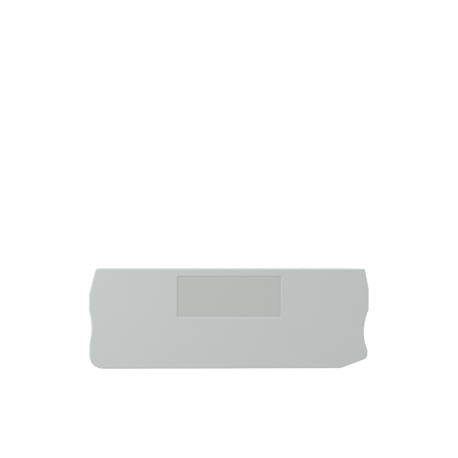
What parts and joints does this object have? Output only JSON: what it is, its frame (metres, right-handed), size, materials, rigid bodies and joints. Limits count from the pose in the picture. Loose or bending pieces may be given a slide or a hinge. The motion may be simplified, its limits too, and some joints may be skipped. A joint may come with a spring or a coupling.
{
  "type": "terminal block end cover",
  "caption": "Flat moulded end cover for rail-mounted terminal blocks: long notched outline, shallow sunken marking field, hollow rimmed back with round latching pegs.",
  "frame": {"origin": "under the middle of the outline, on the surface that the peg tips rest on", "axes": "+X along the cover, towards its chamfered end; +Y across it, towards the straight edge beside the marking field; +Z out of the front face"},
  "size_m": [0.072, 0.0256, 0.0045],
  "materials": {
    "polyamide": "light grey polyamide with a fine dull grain"
  },
  "bodies": {
    "root": {"end_cover": "polyamide"}
  },
  "joints": []
}
